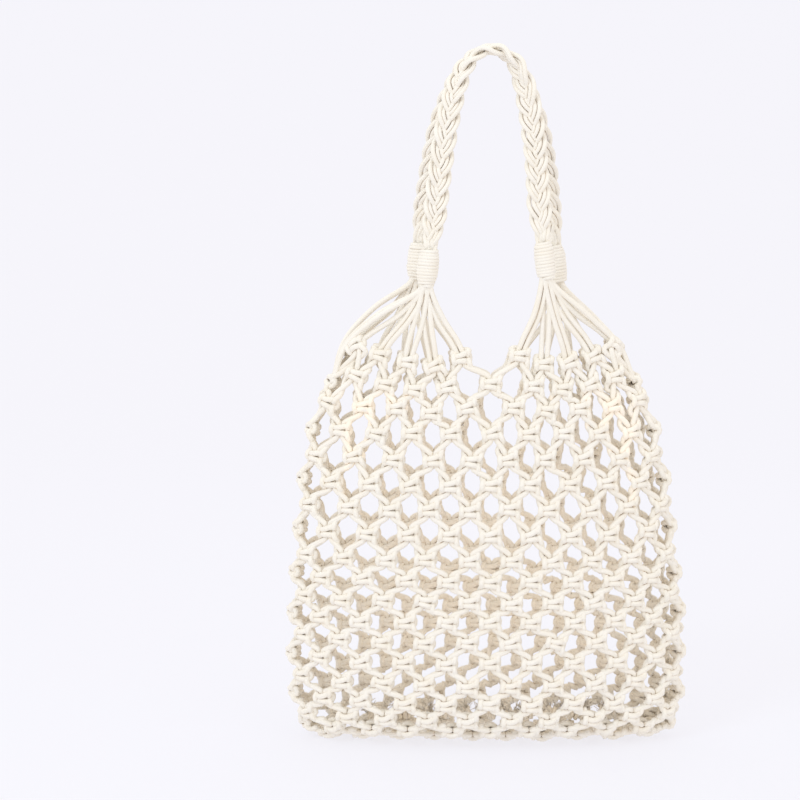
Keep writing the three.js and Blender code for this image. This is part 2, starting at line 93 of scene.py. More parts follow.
# The middle line of a handle's leg: shares of the front handle's spread, of what the back handle
# spreads further, of the drop, and of a quarter turn
LEG_OUT = (0.0, 0.165, 0.305, 0.432, 0.515, 0.61, 0.71, 0.785, 0.86, 0.93, 1.0)
LEG_FURTHER = (0.0, 0.0, 0.0, 0.0, 0.02, 0.12, 0.38, 0.62, 0.84, 0.96, 1.0)
LEG_DOWN = (0.0, 0.009, 0.037, 0.079, 0.128, 0.205, 0.325, 0.452, 0.640, 0.840, 1.0)
LEG_TURN = (0.0, 0.06, 0.16, 0.30, 0.46, 0.68, 0.88, 0.98, 1.0, 1.0, 1.0)

# One square knot, in cord thicknesses: across to the right, up, and out towards the viewer.
# The front cord crosses over the knot twice as its two bars.
FRONT_CORD = (
    (-1.85, 1.9, -0.5), (-1.75, 1.1, -0.25), (-1.35, 0.4, 0.3), (-0.75, 0.33, 0.95),
    (0.0, 0.47, 1.12), (0.7, 0.68, 0.95), (1.3, 0.9, 0.25), (1.7, 0.42, -0.4),
    (1.7, -0.3, -0.4), (1.35, -0.72, 0.1), (0.75, -0.58, 0.9), (0.0, -0.5, 1.1),
    (-0.7, -0.5, 0.95), (-1.3, -0.55, 0.3), (-1.75, -1.1, -0.2), (-1.85, -1.9, -0.5),
)
# The back cord goes behind the knot and stands up as the bump at its left
BACK_CORD = (
    (1.75, 1.9, -0.1), (1.6, 1.2, 0.55), (1.35, 0.55, 0.6), (1.1, 0.25, -0.4),
    (0.5, 0.4, -1.0), (-0.5, 0.65, -1.0), (-1.15, 0.85, -0.5), (-1.6, 0.62, 0.5),
    (-1.68, 0.2, 0.95), (-1.68, -0.22, 0.95), (-1.6, -0.72, 0.5), (-1.15, -0.9, -0.5),
    (-0.5, -0.65, -1.0), (0.5, -0.4, -1.0), (1.1, -0.25, -0.4), (1.4, -0.5, 0.6),
    (1.6, -1.2, 0.55), (1.75, -1.9, -0.1),
)
# A core cord runs straight down through the knot; its sign says which of the two it is
CORE_CORD = ((0.55, 1.3, 0.25), (0.45, 0.6, 0.1), (0.45, -0.6, 0.1), (0.55, -1.3, 0.25))
# The first row's wrapping cord is folded behind the knot; each half starts at the fold
FRONT_FOLD = ((0.0, 1.5, -0.85), (-1.1, 1.45, -0.7), (-1.85, 1.15, -0.1))
BACK_FOLD = ((0.0, 1.5, -0.85), (1.1, 1.45, -0.7), (1.75, 1.15, 0.3))


class BagSizes(bpy.types.PropertyGroup):
    cord: bpy.props.FloatProperty(
        name="Cord", description="Thickness of the cotton cord", default=0.005, unit="LENGTH"
    )
    net_width: bpy.props.FloatProperty(
        name="Net Width", description="Width of the net between its knots' middles",
        default=0.350, unit="LENGTH",
    )
    net_depth: bpy.props.FloatProperty(
        name="Net Depth", description="Depth of the net between its knots' middles",
        default=0.106, unit="LENGTH",
    )
    net_drop: bpy.props.FloatProperty(
        name="Net Drop", description="From the first row of knots down to the seam",
        default=0.3455, unit="LENGTH",
    )
    side_lean: bpy.props.FloatProperty(
        name="Side Lean", description="How far the rim hangs to the left", default=0.010, unit="LENGTH"
    )
    upper_pitch: bpy.props.FloatProperty(
        name="Upper Row Pitch", description="Between knot rows in the stretched upper half",
        default=0.0226, unit="LENGTH",
    )
    lower_pitch: bpy.props.FloatProperty(
        name="Lower Row Pitch", description="Between knot rows in the resting lower half",
        default=0.0184, unit="LENGTH",
    )
    handle_drop: bpy.props.FloatProperty(
        name="Handle Drop", description="From the hang point down to the collars",
        default=0.170, unit="LENGTH",
    )
    collar_length: bpy.props.FloatProperty(
        name="Collar Length", description="Length of a wrapped collar", default=0.036, unit="LENGTH"
    )
    plait_length: bpy.props.FloatProperty(
        name="Plait Repeat", description="Length in which a strand crosses over and back",
        default=0.0485, unit="LENGTH",
    )
    rows: bpy.props.IntProperty(name="Rows", description="Rows of knots down the net", default=19)
    around: bpy.props.IntProperty(name="Knots Around", description="Knots in each row", default=20)


class BagColours(bpy.types.PropertyGroup):
    cotton: bpy.props.FloatVectorProperty(
        name="Cotton", description="Natural cotton cord", subtype="COLOR", size=3,
        default=(0.93, 0.887, 0.807),
    )
    # Used for the cord's random darker flecks, and as painted shade in the braid's grooves
    cotton_fleck_and_groove_shade: bpy.props.FloatVectorProperty(
        name="Warm Cotton", description="The cord's darker flecks", subtype="COLOR", size=3,
        default=(0.915, 0.85, 0.732),
    )
    tail: bpy.props.FloatVectorProperty(
        name="Frayed Cotton", description="Cut and frayed cord ends", subtype="COLOR", size=3,
        default=(0.94, 0.895, 0.82),
    )
    floor: bpy.props.FloatVectorProperty(
        name="Floor", description="Plain pale floor and backdrop", subtype="COLOR", size=3,
        default=(0.900, 0.893, 0.945),
    )


def sizes():
    return bpy.context.scene.bag_sizes


def colours():
    return bpy.context.scene.bag_colours


def deselect_all():
    for thing in bpy.context.view_layer.objects:
        thing.select_set(False)


def smooth_step(x):
    f = np.clip(x, 0.0, 1.0)
    return f * f * (3.0 - 2.0 * f)


def read_table(places, values, place):
    """A smooth value of a table's column, at each place"""
    places = np.asarray(places, float)
    values = np.asarray(values, float)
    slopes = np.gradient(values)
    steps = np.gradient(places)
    slopes = slopes / steps
    slopes[0] = (values[1] - values[0]) / (places[1] - places[0])
    slopes[-1] = (values[-1] - values[-2]) / (places[-1] - places[-2])
    place = np.asarray(place, float)
    i = np.clip(np.searchsorted(places, place, side="left") - 1, 0, len(places) - 2)
    span = places[i + 1] - places[i]
    f = np.clip((place - places[i]) / span, 0.0, 1.0)
    cubic = 2 * f**3 - 3 * f**2
    ends = (cubic + 1) * values[i] - cubic * values[i + 1]
    return ends + span * ((f**3 - 2 * f**2 + f) * slopes[i] + (f**3 - f**2) * slopes[i + 1])


def quarter_oval(half_width, half_depth, share):
    """Points a share of the way, by length, from the middle of an oval's front to its side"""
    angles = np.linspace(0.0, math.pi / 2, 49)
    x = half_width[:, None] * np.sin(angles)
    y = half_depth[:, None] * np.cos(angles)
    steps = np.hypot(np.diff(x, axis=1), np.diff(y, axis=1))
    lengths = np.concatenate([np.zeros((len(x), 1)), np.cumsum(steps, axis=1)], axis=1)
    target = share * lengths[:, -1]
    angle = np.array([np.interp(t, row, angles) for t, row in zip(target, lengths)])
    return half_width * np.sin(angle), half_depth * np.cos(angle)


# From the collars down to the first row of knots
FAN_DROP = 61.0
# How far a gathered place of the rim hangs when its share is 1
KNOT_HEIGHT = 17.0
# The share of the net's wall over which the gathers even out
GATHER_DEPTH = 0.2
# Along the wall, from the first row of knots down to the seam
WALL_LENGTH = 377.0
# Rows down to this one are stretched wider apart
STRETCHED_ROWS = 8


def rim_height():
    """The height of the first row's knots, above which the heads stand half a knot"""
    s = sizes()
    return -(s.handle_drop + s.collar_length) / METRE - FAN_DROP


def net_middle(around, way):
    """The middle surface of the net, at places around in knots and ways down from the first row"""
    s = sizes()
    around, way = np.broadcast_arrays(np.asarray(around, float), np.asarray(way, float))
    shape = around.shape
    turn = np.mod(around.ravel(), s.around)
    way = way.ravel()
    from_front = np.minimum(turn, s.around - turn)
    side = np.where(turn <= s.around / 2, 1.0, -1.0)
    front = np.where(from_front <= s.around / 4, -1.0, 1.0)
    side_place = GATHER_PLACE[-1]
    from_middle = np.where(front < 0, from_front, s.around / 2 - from_front)
    place = from_middle * side_place / (s.around / 4)
    gather = 1.0 - smooth_step(way / GATHER_DEPTH)
    even = place / side_place
    share = even + gather * (read_table(GATHER_PLACE, GATHER_SHARE, place) - even)
    hang = gather * read_table(GATHER_PLACE, GATHER_HANG, place) * KNOT_HEIGHT
    level = np.clip(way, 0.0, 1.0)
    widest = s.net_width / METRE / 2
    half_width = widest * read_table(WALL_WAY, WALL_WIDE, level)
    half_depth = s.net_depth / METRE / 2 * read_table(WALL_WAY, WALL_DEEP, level)
    out, deep = quarter_oval(half_width, half_depth, np.minimum(share, 1.0))
    lean = s.side_lean / METRE * (1.0 - level) ** 2 * (out / widest) ** 2
    drop = s.net_drop / METRE * (read_table(WALL_WAY, WALL_DROP, level) + np.minimum(way, 0.0))
    corner_sag = 2.5 * smooth_step((level - 0.84) / 0.16) * (out / widest) ** 2
    height = rim_height() - drop - hang - corner_sag
    points = np.stack([side * out - lean, front * deep, height], axis=-1)
    return points.reshape(shape + (3,))


def unit(v):
    return v / np.maximum(np.linalg.norm(v, axis=-1, keepdims=True), 1e-9)


def net_axes(around, way, reach=0.5):
    """The directions right, up and out of the net at a place, as seen from outside"""
    low = min(max(way, 0.0), 0.98)
    right = net_middle(around + reach, low) - net_middle(around - reach, low)
    up = net_middle(around, low) - net_middle(around, low + 0.02)
    out = unit(np.cross(unit(right), unit(up)))
    right = unit(right)
    return right, unit(np.cross(out, right)), out


def row_way(row):
    """How far down the net a row of knots lies: rows are wider apart in the upper half"""
    s = sizes()
    upper = s.upper_pitch / METRE * min(row, STRETCHED_ROWS)
    lower = s.lower_pitch / METRE * max(row - STRETCHED_ROWS, 0)
    return (upper + lower) / WALL_LENGTH


def smooth_path(points, spacing):
    """A cord's path through its points, with even steps of about the given length"""
    points = np.asarray(points, float)
    padded = np.vstack([2 * points[0] - points[1], points, 2 * points[-1] - points[-2]])
    knots = np.concatenate([[0.0], np.cumsum(np.linalg.norm(np.diff(padded, axis=0), axis=1) ** 0.5)])
    pieces = []
    for i in range(1, len(padded) - 2):
        p0, p1, p2, p3 = padded[i - 1], padded[i], padded[i + 1], padded[i + 2]
        t0, t1, t2, t3 = knots[i - 1], knots[i], knots[i + 1], knots[i + 2]
        t = np.linspace(t1, t2, PATH_FINENESS, endpoint=False)[:, None]
        a1 = (t1 - t) / (t1 - t0) * p0 + (t - t0) / (t1 - t0) * p1
        a2 = (t2 - t) / (t2 - t1) * p1 + (t - t1) / (t2 - t1) * p2
        a3 = (t3 - t) / (t3 - t2) * p2 + (t - t2) / (t3 - t2) * p3
        b1 = (t2 - t) / (t2 - t0) * a1 + (t - t0) / (t2 - t0) * a2
        b2 = (t3 - t) / (t3 - t1) * a2 + (t - t1) / (t3 - t1) * a3
        pieces.append((t2 - t) / (t2 - t1) * b1 + (t - t1) / (t2 - t1) * b2)
    dense = np.vstack(pieces + [points[-1:]])
    lengths = np.concatenate([[0.0], np.cumsum(np.linalg.norm(np.diff(dense, axis=0), axis=1))])
    count = max(int(round(lengths[-1] / spacing)), 2) + 1
    even = np.linspace(0.0, lengths[-1], count)
    return np.stack([np.interp(even, lengths, dense[:, k]) for k in range(3)], axis=-1), even


def carried_frames(path):
    """Two directions across a path at each point, carried along it without twisting"""
    tangents = unit(np.gradient(path, axis=0))
    first = np.cross(tangents[0], (0.0, 0.0, 1.0))
    if np.linalg.norm(first) < 0.1:
        first = np.cross(tangents[0], (0.0, 1.0, 0.0))
    across = np.empty_like(path)
    current = first / np.linalg.norm(first)
    for i, t in enumerate(tangents):
        current = current - t * (current @ t)
        current = current / math.sqrt(current @ current)
        across[i] = current
    return across, np.cross(tangents, across)


# The length of a cord's straight steps
STEP = 2.5


class CordMesh:
    """Gathers cords as closed tubes in one mesh, with a map along and around each cord"""

    def __init__(self, sides=8):
        self.sides = sides
        self.points = []
        self.faces = []
        self.maps = []
        self.tones = []
        self.caps = []
        self.count = 0

    def tube(self, path, lengths, across, other, half_across, half_other, tone):
        sides = self.sides
        angles = np.arange(sides) * 2 * math.pi / sides
        rings = len(path)
        half_across = np.broadcast_to(half_across, (rings,))[:, None, None]
        half_other = np.broadcast_to(half_other, (rings,))[:, None, None]
        ring = (
            path[:, None, :]
            + across[:, None, :] * np.cos(angles)[None, :, None] * half_across
            + other[:, None, :] * np.sin(angles)[None, :, None] * half_other
        )
        self.points.append(ring.reshape(-1, 3))
        self.tones.append(np.full(rings * sides, tone))
        base = self.count
        i = np.arange(rings - 1)[:, None] * sides + base
        j = np.arange(sides)[None, :]
        k = (j + 1) % sides
        quads = np.stack([i + j, i + k, i + sides + k, i + sides + j], axis=-1).reshape(-1, 4)
        self.faces.append(quads)
        low = np.repeat(lengths[:-1], sides)
        high = np.repeat(lengths[1:], sides)
        left = np.tile(np.arange(sides) / sides, rings - 1)
        right = left + 1.0 / sides
        quad_map = np.stack(
            [np.stack([low, left], -1), np.stack([low, right], -1),
             np.stack([high, right], -1), np.stack([high, left], -1)], axis=1,
        )
        self.maps.append(quad_map.reshape(-1, 2))
        self.count += rings * sides
        self.caps.append((base, base + (rings - 1) * sides))

    def cord(self, points, thickness, tone, spacing=STEP, offset=0.0):
        path, lengths = smooth_path(points, spacing)
        across, other = carried_frames(path)
        half = thickness / 2
        self.tube(path, lengths + offset, across, other, half, half, tone)

    def make(self, name, material):
        sides = self.sides
        points = np.vstack(self.points) * METRE
        quads = np.vstack(self.faces)
        maps = np.vstack(self.maps)
        cap_faces = []
        for start, end in self.caps:
            cap_faces.append(np.arange(start, start + sides)[::-1])
            cap_faces.append(np.arange(end, end + sides))
        caps = np.concatenate(cap_faces)
        loops = np.concatenate([quads.ravel(), caps])
        starts = np.concatenate([
            np.arange(len(quads)) * 4,
            len(quads) * 4 + np.arange(len(cap_faces)) * sides,
        ])
        totals = np.concatenate([np.full(len(quads), 4), np.full(len(cap_faces), sides)])
        mesh = bpy.data.meshes.new(name)
        mesh.vertices.add(len(points))
        mesh.vertices.foreach_set("co", points.ravel())
        mesh.loops.add(len(loops))
        mesh.loops.foreach_set("vertex_index", loops.astype(np.int32))
        mesh.polygons.add(len(totals))
        mesh.polygons.foreach_set("loop_start", starts.astype(np.int32))
        mesh.polygons.foreach_set("loop_total", totals.astype(np.int32))
        mesh.polygons.foreach_set("use_smooth", np.ones(len(totals), bool))
        along = mesh.uv_layers.new(name="cord_map")
        uv = np.zeros((len(loops), 2))
        uv[: len(maps)] = maps
        along.data.foreach_set("uv", uv.ravel().astype(np.float32))
        tone = mesh.attributes.new("tone", "FLOAT", "POINT")
        tone.data.foreach_set("value", np.concatenate(self.tones).astype(np.float32))
        mesh.update(calc_edges=True)
        mesh.materials.append(material)
        piece = bpy.data.objects.new(name, mesh)
        bpy.context.scene.collection.objects.link(piece)
        return piece


# The braid's waves for each millimetre along a cord, and for each turn around it
BRAID_ALONG = 0.42
BRAID_AROUND = 3.0
# Where cords touch, a thin brown crease of painted shade is drawn this wide, in metres
PAINTED_SHADE_REACH = 0.0016
PAINTED_CREASE_SHADE = (0.44, 0.27, 0.13, 1.0)


def put(tree, kind, inputs, **settings):
    """Adds a node: an input given as a socket is linked, and any other is set as its value"""
    node = tree.nodes.new(kind)
    for name, value in settings.items():
        setattr(node, name, value)
    for name, value in inputs.items():
        if isinstance(value, bpy.types.NodeSocket):
            tree.links.new(value, node.inputs[name])
        else:
            node.inputs[name].default_value = value
    return node


def maths(tree, operation, *values):
    """The result of a sum on numbers and sockets"""
    return put(tree, "ShaderNodeMath", dict(enumerate(values)), operation=operation).outputs[0]


def blend(tree, share, first, second):
    """A colour between two, each a socket or a colour"""
    inputs = {"Factor": share, "A": first, "B": second}
    return put(tree, "ShaderNodeMix", inputs, data_type="RGBA").outputs["Result"]


def noise(tree, place, scale, detail):
    """A noise pattern at a place"""
    inputs = {"Vector": place, "Scale": scale, "Detail": detail}
    return put(tree, "ShaderNodeTexNoise", inputs).outputs["Fac"]


def map_range(tree, value, low, high, at_low, at_high):
    """A value carried from one range over to another"""
    inputs = {"Value": value, "From Min": low, "From Max": high, "To Min": at_low, "To Max": at_high}
    return put(tree, "ShaderNodeMapRange", inputs).outputs["Result"]


def braid_height(tree):
    """The relief of a fine braid: two waves that wind around the cord in opposite ways"""
    uv = put(tree, "ShaderNodeUVMap", {}, uv_map="cord_map").outputs["UV"]
    waves = []
    for lean in (1.0, -1.0):
        scale = (BRAID_ALONG, BRAID_AROUND * lean, 1.0)
        place = put(tree, "ShaderNodeMapping", {"Vector": uv, "Scale": scale}).outputs["Vector"]
        parts = put(tree, "ShaderNodeSeparateXYZ", {"Vector": place}).outputs
        turns = maths(tree, "ADD", parts["X"], parts["Y"])
        waves.append(maths(tree, "SINE", maths(tree, "MULTIPLY", turns, 2 * math.pi)))
    return maths(tree, "MAXIMUM", *waves)


def cotton_material(name, base, fleck_and_groove_shade, bump=0.35):
    """Soft matte cotton: a fine braid along the cord, gentle flecks, a tone for each cord, and painted
    shade in the braid's grooves and where cords touch
    """
    material = bpy.data.materials.new(name)
    material.use_nodes = True
    tree = material.node_tree
    shader = tree.nodes["Principled BSDF"]
    shader.inputs["Roughness"].default_value = 0.85
    shader.inputs["Sheen Weight"].default_value = 0.25
    shader.inputs["Sheen Roughness"].default_value = 0.5
    shader.inputs["Specular IOR Level"].default_value = 0.2

    where = put(tree, "ShaderNodeTexCoord", {}).outputs["Object"]
    fuzz = noise(tree, where, 900.0, 3.0)
    patches = noise(tree, where, 60.0, 4.0)
    braid = braid_height(tree)
    height = maths(tree, "MULTIPLY_ADD", braid, 1.2, fuzz)
    relief = put(tree, "ShaderNodeBump", {"Strength": bump, "Distance": 0.0002, "Height": height})
    tree.links.new(relief.outputs["Normal"], shader.inputs["Normal"])

    tone = put(tree, "ShaderNodeAttribute", {}, attribute_name="tone").outputs["Fac"]
    flecks = maths(tree, "ADD", map_range(tree, patches, 0.35, 0.75, 0.0, 0.7), tone)
    # The braid's low grooves take a little more of the darker warm colour: painted shade
    share = maths(tree, "MULTIPLY_ADD", braid, -0.12, flecks)
    cotton = blend(tree, share, (*base, 1.0), (*fleck_and_groove_shade, 1.0))
    # Painted shade: the base colour turns brown where other cords lie close to the surface
    crease_occlusion = put(
        tree, "ShaderNodeAmbientOcclusion", {"Distance": PAINTED_SHADE_REACH}, samples=6, only_local=True
    )
    painted_shade_share = map_range(tree, crease_occlusion.outputs["AO"], 0.1, 0.5, 0.85, 0.0)
    colour = blend(tree, painted_shade_share, cotton, PAINTED_CREASE_SHADE)
    tree.links.new(colour, shader.inputs["Base Color"])
    return material


def bag_material(name):
    """The finish of one kind of cord, made once"""
    if name in bpy.data.materials:
        return bpy.data.materials[name]
    c = colours()
    if name == "frayed_cotton":
        return cotton_material(name, tuple(c.tail), tuple(c.cotton_fleck_and_groove_shade), bump=0.6)
    return cotton_material(name, tuple(c.cotton), tuple(c.cotton_fleck_and_groove_shade))


class Knot:
    """One square knot of the net: its middle, its axes and its small irregularities"""

    def __init__(self, row, column, chance):
        s = sizes()
        self.around = column + (0.5 if row % 2 == 0 else 0.0)
        self.way = row_way(row)
        self.settle(row)
        cord = s.cord / METRE
        self.middle = net_middle(self.around, self.way)
        right, up, out = net_axes(self.around, self.way)
        turn = math.radians(chance.normal(0.0, 5.0 + max(5.0 - row, 0.0)))
        self.right = right * math.cos(turn) + up * math.sin(turn)
        self.up = up * math.cos(turn) - right * math.sin(turn)
        self.out = out
        self.middle = (
            self.middle
            + right * chance.normal(0.0, 0.18) * cord
            + up * chance.normal(0.0, 0.15) * cord
            + out * chance.normal(0.0, 0.10) * cord
        )
        pitch = (s.upper_pitch if row < STRETCHED_ROWS else s.lower_pitch) / METRE
        self.tall = cord * min(1.0, pitch / (4.0 * cord)) * chance.uniform(0.96, 1.04)
        # The gathered rim crowds the first row's knots
        crowd = 0.84 if row == 0 else 0.91
        self.broad = cord * crowd * chance.uniform(0.96, 1.04)
        self.deep = cord * 0.92

    def settle(self, row):
        """Lets the back net hang a little lower, and to the right as seen from the front"""
        quarter = sizes().around / 4
        from_back = (self.around - 2 * quarter) / quarter
        if abs(from_back) >= 1.0:
            return
        # Shifts are shares of a knot's width, and the sag is in millimetres
        to_right = -math.sin(from_back * math.pi / 2)
        low_half = smooth_step((row - 8.0) / 5.0)
        high_shift = (0.18 + 0.17 * to_right) * smooth_step(row / 3.0)
        low_shift = 0.35 + 0.24 * to_right
        shift = high_shift + (low_shift - high_shift) * low_half
        self.around -= shift * (1.0 - abs(from_back) ** 4)
        sag = (6.5 + 2.5 * smooth_step(row / 4.0)) * (1.0 - smooth_step((row - 9.0) / 8.0))
        self.way += sag / WALL_LENGTH * (1.0 - from_back ** 2)

    def place(self, local):
        """Where points given in cord thicknesses from the knot's middle lie"""
        local = np.asarray(local, float)
        return (
            self.middle
            + self.right * (local[..., 0:1] * self.broad)
            + self.up * (local[..., 1:2] * self.tall)
            + self.out * (local[..., 2:3] * self.deep)
        )


def net_knots():
    """All the knots, by row and by column around the bag"""
    s = sizes()
    chance = np.random.default_rng(11)
    return [[Knot(row, column, chance) for column in range(s.around)] for row in range(s.rows)]


def core_route(side):
    """A core cord's way through a knot: side is -1 for the left one and 1 for the right one"""
    return [(side * across, up, out) for across, up, out in CORE_CORD]


def seam_point(around):
    """Where a bottom knot's cords come together at the seam"""
    point = net_middle(around, 1.0)
    point[1] = 0.0
    return point


def strand_route(knots, column, start_side, kind):
    """A strand's points down the net: at each knot it changes sides with its neighbour column"""
    s = sizes()
    side = start_side
    points = []
    for row in range(s.rows):
        knot = knots[row][column % s.around]
        if kind == "core":
            local = core_route(side)[1 if row == 0 else 0:]
        elif side < 0:
            local = list(FRONT_CORD)
            if row == 0:
                local = list(FRONT_FOLD) + local[2:]
        else:
            local = list(BACK_CORD)
            if row == 0:
                local = list(BACK_FOLD) + local[2:]
        points.append(knot.place(local))
        if row < s.rows - 1:
            if side < 0:
                column = column - (1 if row % 2 == 1 else 0)
            else:
                column = column + (1 if row % 2 == 0 else 0)
            side = -side
    # Below the last knot the cords meet at the seam and turn up inside it
    last = knots[s.rows - 1][column % s.around]
    end = seam_point(last.around)
    front = -1.0 if last.middle[1] < 0 else 1.0
    shift = np.array([side * (1.6 if kind == "wrap" else 0.6), front * 2.0, 0.0])
    meet = end + shift + np.array([0.0, 0.0, 1.0])
    rise = end + shift * 0.6 + np.array([0.0, 0.0, 7.0])
    return np.vstack(points + [meet[None], rise[None]])


def finish_piece(piece, slot, *nodes):
    """Seats a finished piece in the frame and hides the solids it stands for"""
    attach(piece, BODY)
    if nodes:
        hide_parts(*nodes)


class BAG_OT_net(bpy.types.Operator):
    """Knots the net: core and wrapping cords zigzag from knot to knot down to the seam"""

    bl_idname = "string_bag.net"
    bl_label = "Knotted Net"

    def execute(self, context):
        s = sizes()
        cord = s.cord / METRE
        knots = net_knots()
        chance = np.random.default_rng(23)
        quarter = s.around // 4
        for turn, corner in enumerate(("front_right", "back_right", "back_left", "front_left")):
            cords = CordMesh()
            for column in range(turn * quarter, (turn + 1) * quarter):
                for side in (-1, 1):
                    for kind in ("core", "wrap"):
                        route = strand_route(knots, column, side, kind)
                        tone = chance.uniform(0.0, 0.25)
                        cords.cord(route, cord * 1.03, tone, STEP, chance.uniform(0, 9))
            piece = cords.make(f"net_{corner}", bag_material("cotton_cord"))
            finish_piece(piece, "net_cord", "net_body")
        return {"FINISHED"}


# The four legs: side of the bag, handle, and how much higher the collar hangs
LEGS = {
    "front_left": (-1, -1, 0.0),
    "front_right": (1, -1, 7.0),
    "back_left": (-1, 1, 3.0),
    "back_right": (1, 1, 0.0),
}
# The collars' distance from the middle and how far both of a handle's collars hang to one side
FRONT_SPREAD = 50.5
BACK_SPREAD = 60.5
FRONT_SHIFT = -3.0
BACK_SHIFT = -1.5
# The front right collar hangs this much nearer to the middle than its twin
RIGHT_NUDGE = 1.8
# Between the front and back collars, and between the tops of the handles
COLLAR_SPACE = 44.0
HANDLE_SPACE = 24.0
# The bundle of cords inside a collar
CORE_RADIUS = 7.0
# How much further out a collar's lower end is
LEG_LEAN = 4.0
# The height of a handle's middle line over the hang point
CROWN_HEIGHT = 2.6
DEPTH_WAY = np.array([0.0, 1.0, 0.0])


def collar_axis(side, front):
    """The top and bottom middle points of a collar and the way down between them"""
    s = sizes()
    spread, shift = (FRONT_SPREAD, FRONT_SHIFT) if front < 0 else (BACK_SPREAD, BACK_SHIFT)
    lift = next(leg[2] for leg in LEGS.values() if leg[:2] == (side, front))
    if (side, front) == (1, -1):
        shift -= RIGHT_NUDGE
    height = lift - s.handle_drop / METRE
    length = s.collar_length / METRE
    y = front * COLLAR_SPACE / 2
    top = np.array([side * spread + shift, y, height])
    bottom = np.array([side * (spread + LEG_LEAN) + shift, y, height - length])
    return top, bottom, unit(bottom - top)


def leg_points(side, front):
    """The points of a handle's middle line from the hang point to a collar, and into it"""
    top, bottom, down = collar_axis(side, front)
    foot = top - down * 0.3
    further = 0.0 if front < 0 else BACK_SPREAD - FRONT_SPREAD
    aside = foot[0] - side * (FRONT_SPREAD + further)
    points = []
    for out, more, drop in zip(LEG_OUT, LEG_FURTHER, LEG_DOWN):
        x = side * (out * FRONT_SPREAD + more * further) + drop * aside
        y = front * (HANDLE_SPACE / 2 + drop * (COLLAR_SPACE - HANDLE_SPACE) / 2)
        points.append((x, y, CROWN_HEIGHT + drop * (foot[2] - CROWN_HEIGHT)))
    points.append(tuple(foot + down * 5.0))
    return points, [side * t for t in LEG_TURN] + [float(side)]


def handle_path(front):
    """A handle's middle line from its left collar to its right one, with its flat directions"""
    right, right_turns = leg_points(1, front)
    left, left_turns = leg_points(-1, front)
    marks = np.array(left[:0:-1] + right)
    turns = left_turns[:0:-1] + right_turns
    path, lengths = smooth_path(marks, 1.0)
    nearest = [int(np.argmin(np.linalg.norm(path - mark, axis=1))) for mark in marks]
    turn = read_table(lengths[nearest], turns, lengths)
    tangent = unit(np.gradient(path, axis=0))
    up = unit(np.cross(DEPTH_WAY, tangent))
    flat = unit(np.cross(tangent, up))
    angle = (-front * turn * math.pi / 2)[:, None]
    wide = flat * np.cos(angle) + up * np.sin(angle)
    thick = up * np.cos(angle) - flat * np.sin(angle)
    return path, lengths, wide, thick


def plait_cords(cords, front, chance):
    """Three strands of three cords side by side, which tilt as they pass over and under"""
    s = sizes()
    cord = s.cord / METRE
    path, lengths, wide, thick = handle_path(front)
    total = lengths[-1]
    share = lengths / total
    # The plait is drawn together near both collars, where this falls to 0
    narrow = smooth_step(np.minimum(share, 1.0 - share) / 0.085)
    sway = 5.2 * (0.32 + 0.68 * narrow)
    lift = 2.3 * (0.5 + 0.5 * narrow)
    repeats = round(total / (s.plait_length / METRE))
    uneven = 0.25 * np.sin(lengths / 23.0 + chance.uniform(0, 6.3))
    for strand in range(3):
        angle = 2 * math.pi * (share * repeats + strand / 3.0) + uneven
        # A strand sways across the plait once while it passes over and under twice
        across = wide * (sway * np.sin(angle))[:, None]
        middle = path + across + thick * (-lift * np.sin(2 * angle))[:, None]
        tangent = unit(np.gradient(middle, axis=0))
        level = unit(np.cross(thick, tangent))
        rise = unit(np.cross(tangent, level))
        tilt = -0.36 * np.cos(angle) * narrow
        row = level * np.cos(tilt)[:, None] - rise * np.sin(tilt)[:, None]
        over = rise * np.cos(tilt)[:, None] + level * np.sin(tilt)[:, None]
        for place in (-1.0, 0.0, 1.0):
            wander = 0.3 * np.sin(lengths / 15.0 + chance.uniform(0, 6.3))
            aside = (place * 3.75 * (0.62 + 0.38 * narrow) + wander)[:, None]
            crown = (0.3 - 0.6 * abs(place) + 0.8 * wander)[:, None]
            line = middle + row * aside + over * crown
            thickness = cord * (0.78 + 0.04 * abs(place))
            tone = chance.uniform(0.0, 0.22)
            cords.cord(line[::3], thickness, tone, STEP, chance.uniform(0, 9))


class BAG_OT_handles(bpy.types.Operator):
    """Plaits the two flat handles from grouped cords"""

    bl_idname = "string_bag.handles"
    bl_label = "Plaited Handles"

    def execute(self, context):
        for name, front, seed in (("front", -1, 31), ("back", 1, 37)):
            cords = CordMesh()
            plait_cords(cords, front, np.random.default_rng(seed))
            piece = cords.make(f"plait_{name}", bag_material("plait_cotton"))
            finish_piece(piece, "plait_cord", f"handle_{name}")
        return {"FINISHED"}


# Shares of the way across and down from a collar at which its cords bend: the pair at the side
# of the bag bends twice, by side of the bag, and the others once
SIDE_BEND = {-1: (0.50, 0.27), 1: (0.46, 0.36)}
SIDE_ELBOW = {-1: (0.86, 0.60), 1: (0.82, 0.68)}
FRONT_BEND = (0.37, 0.45)


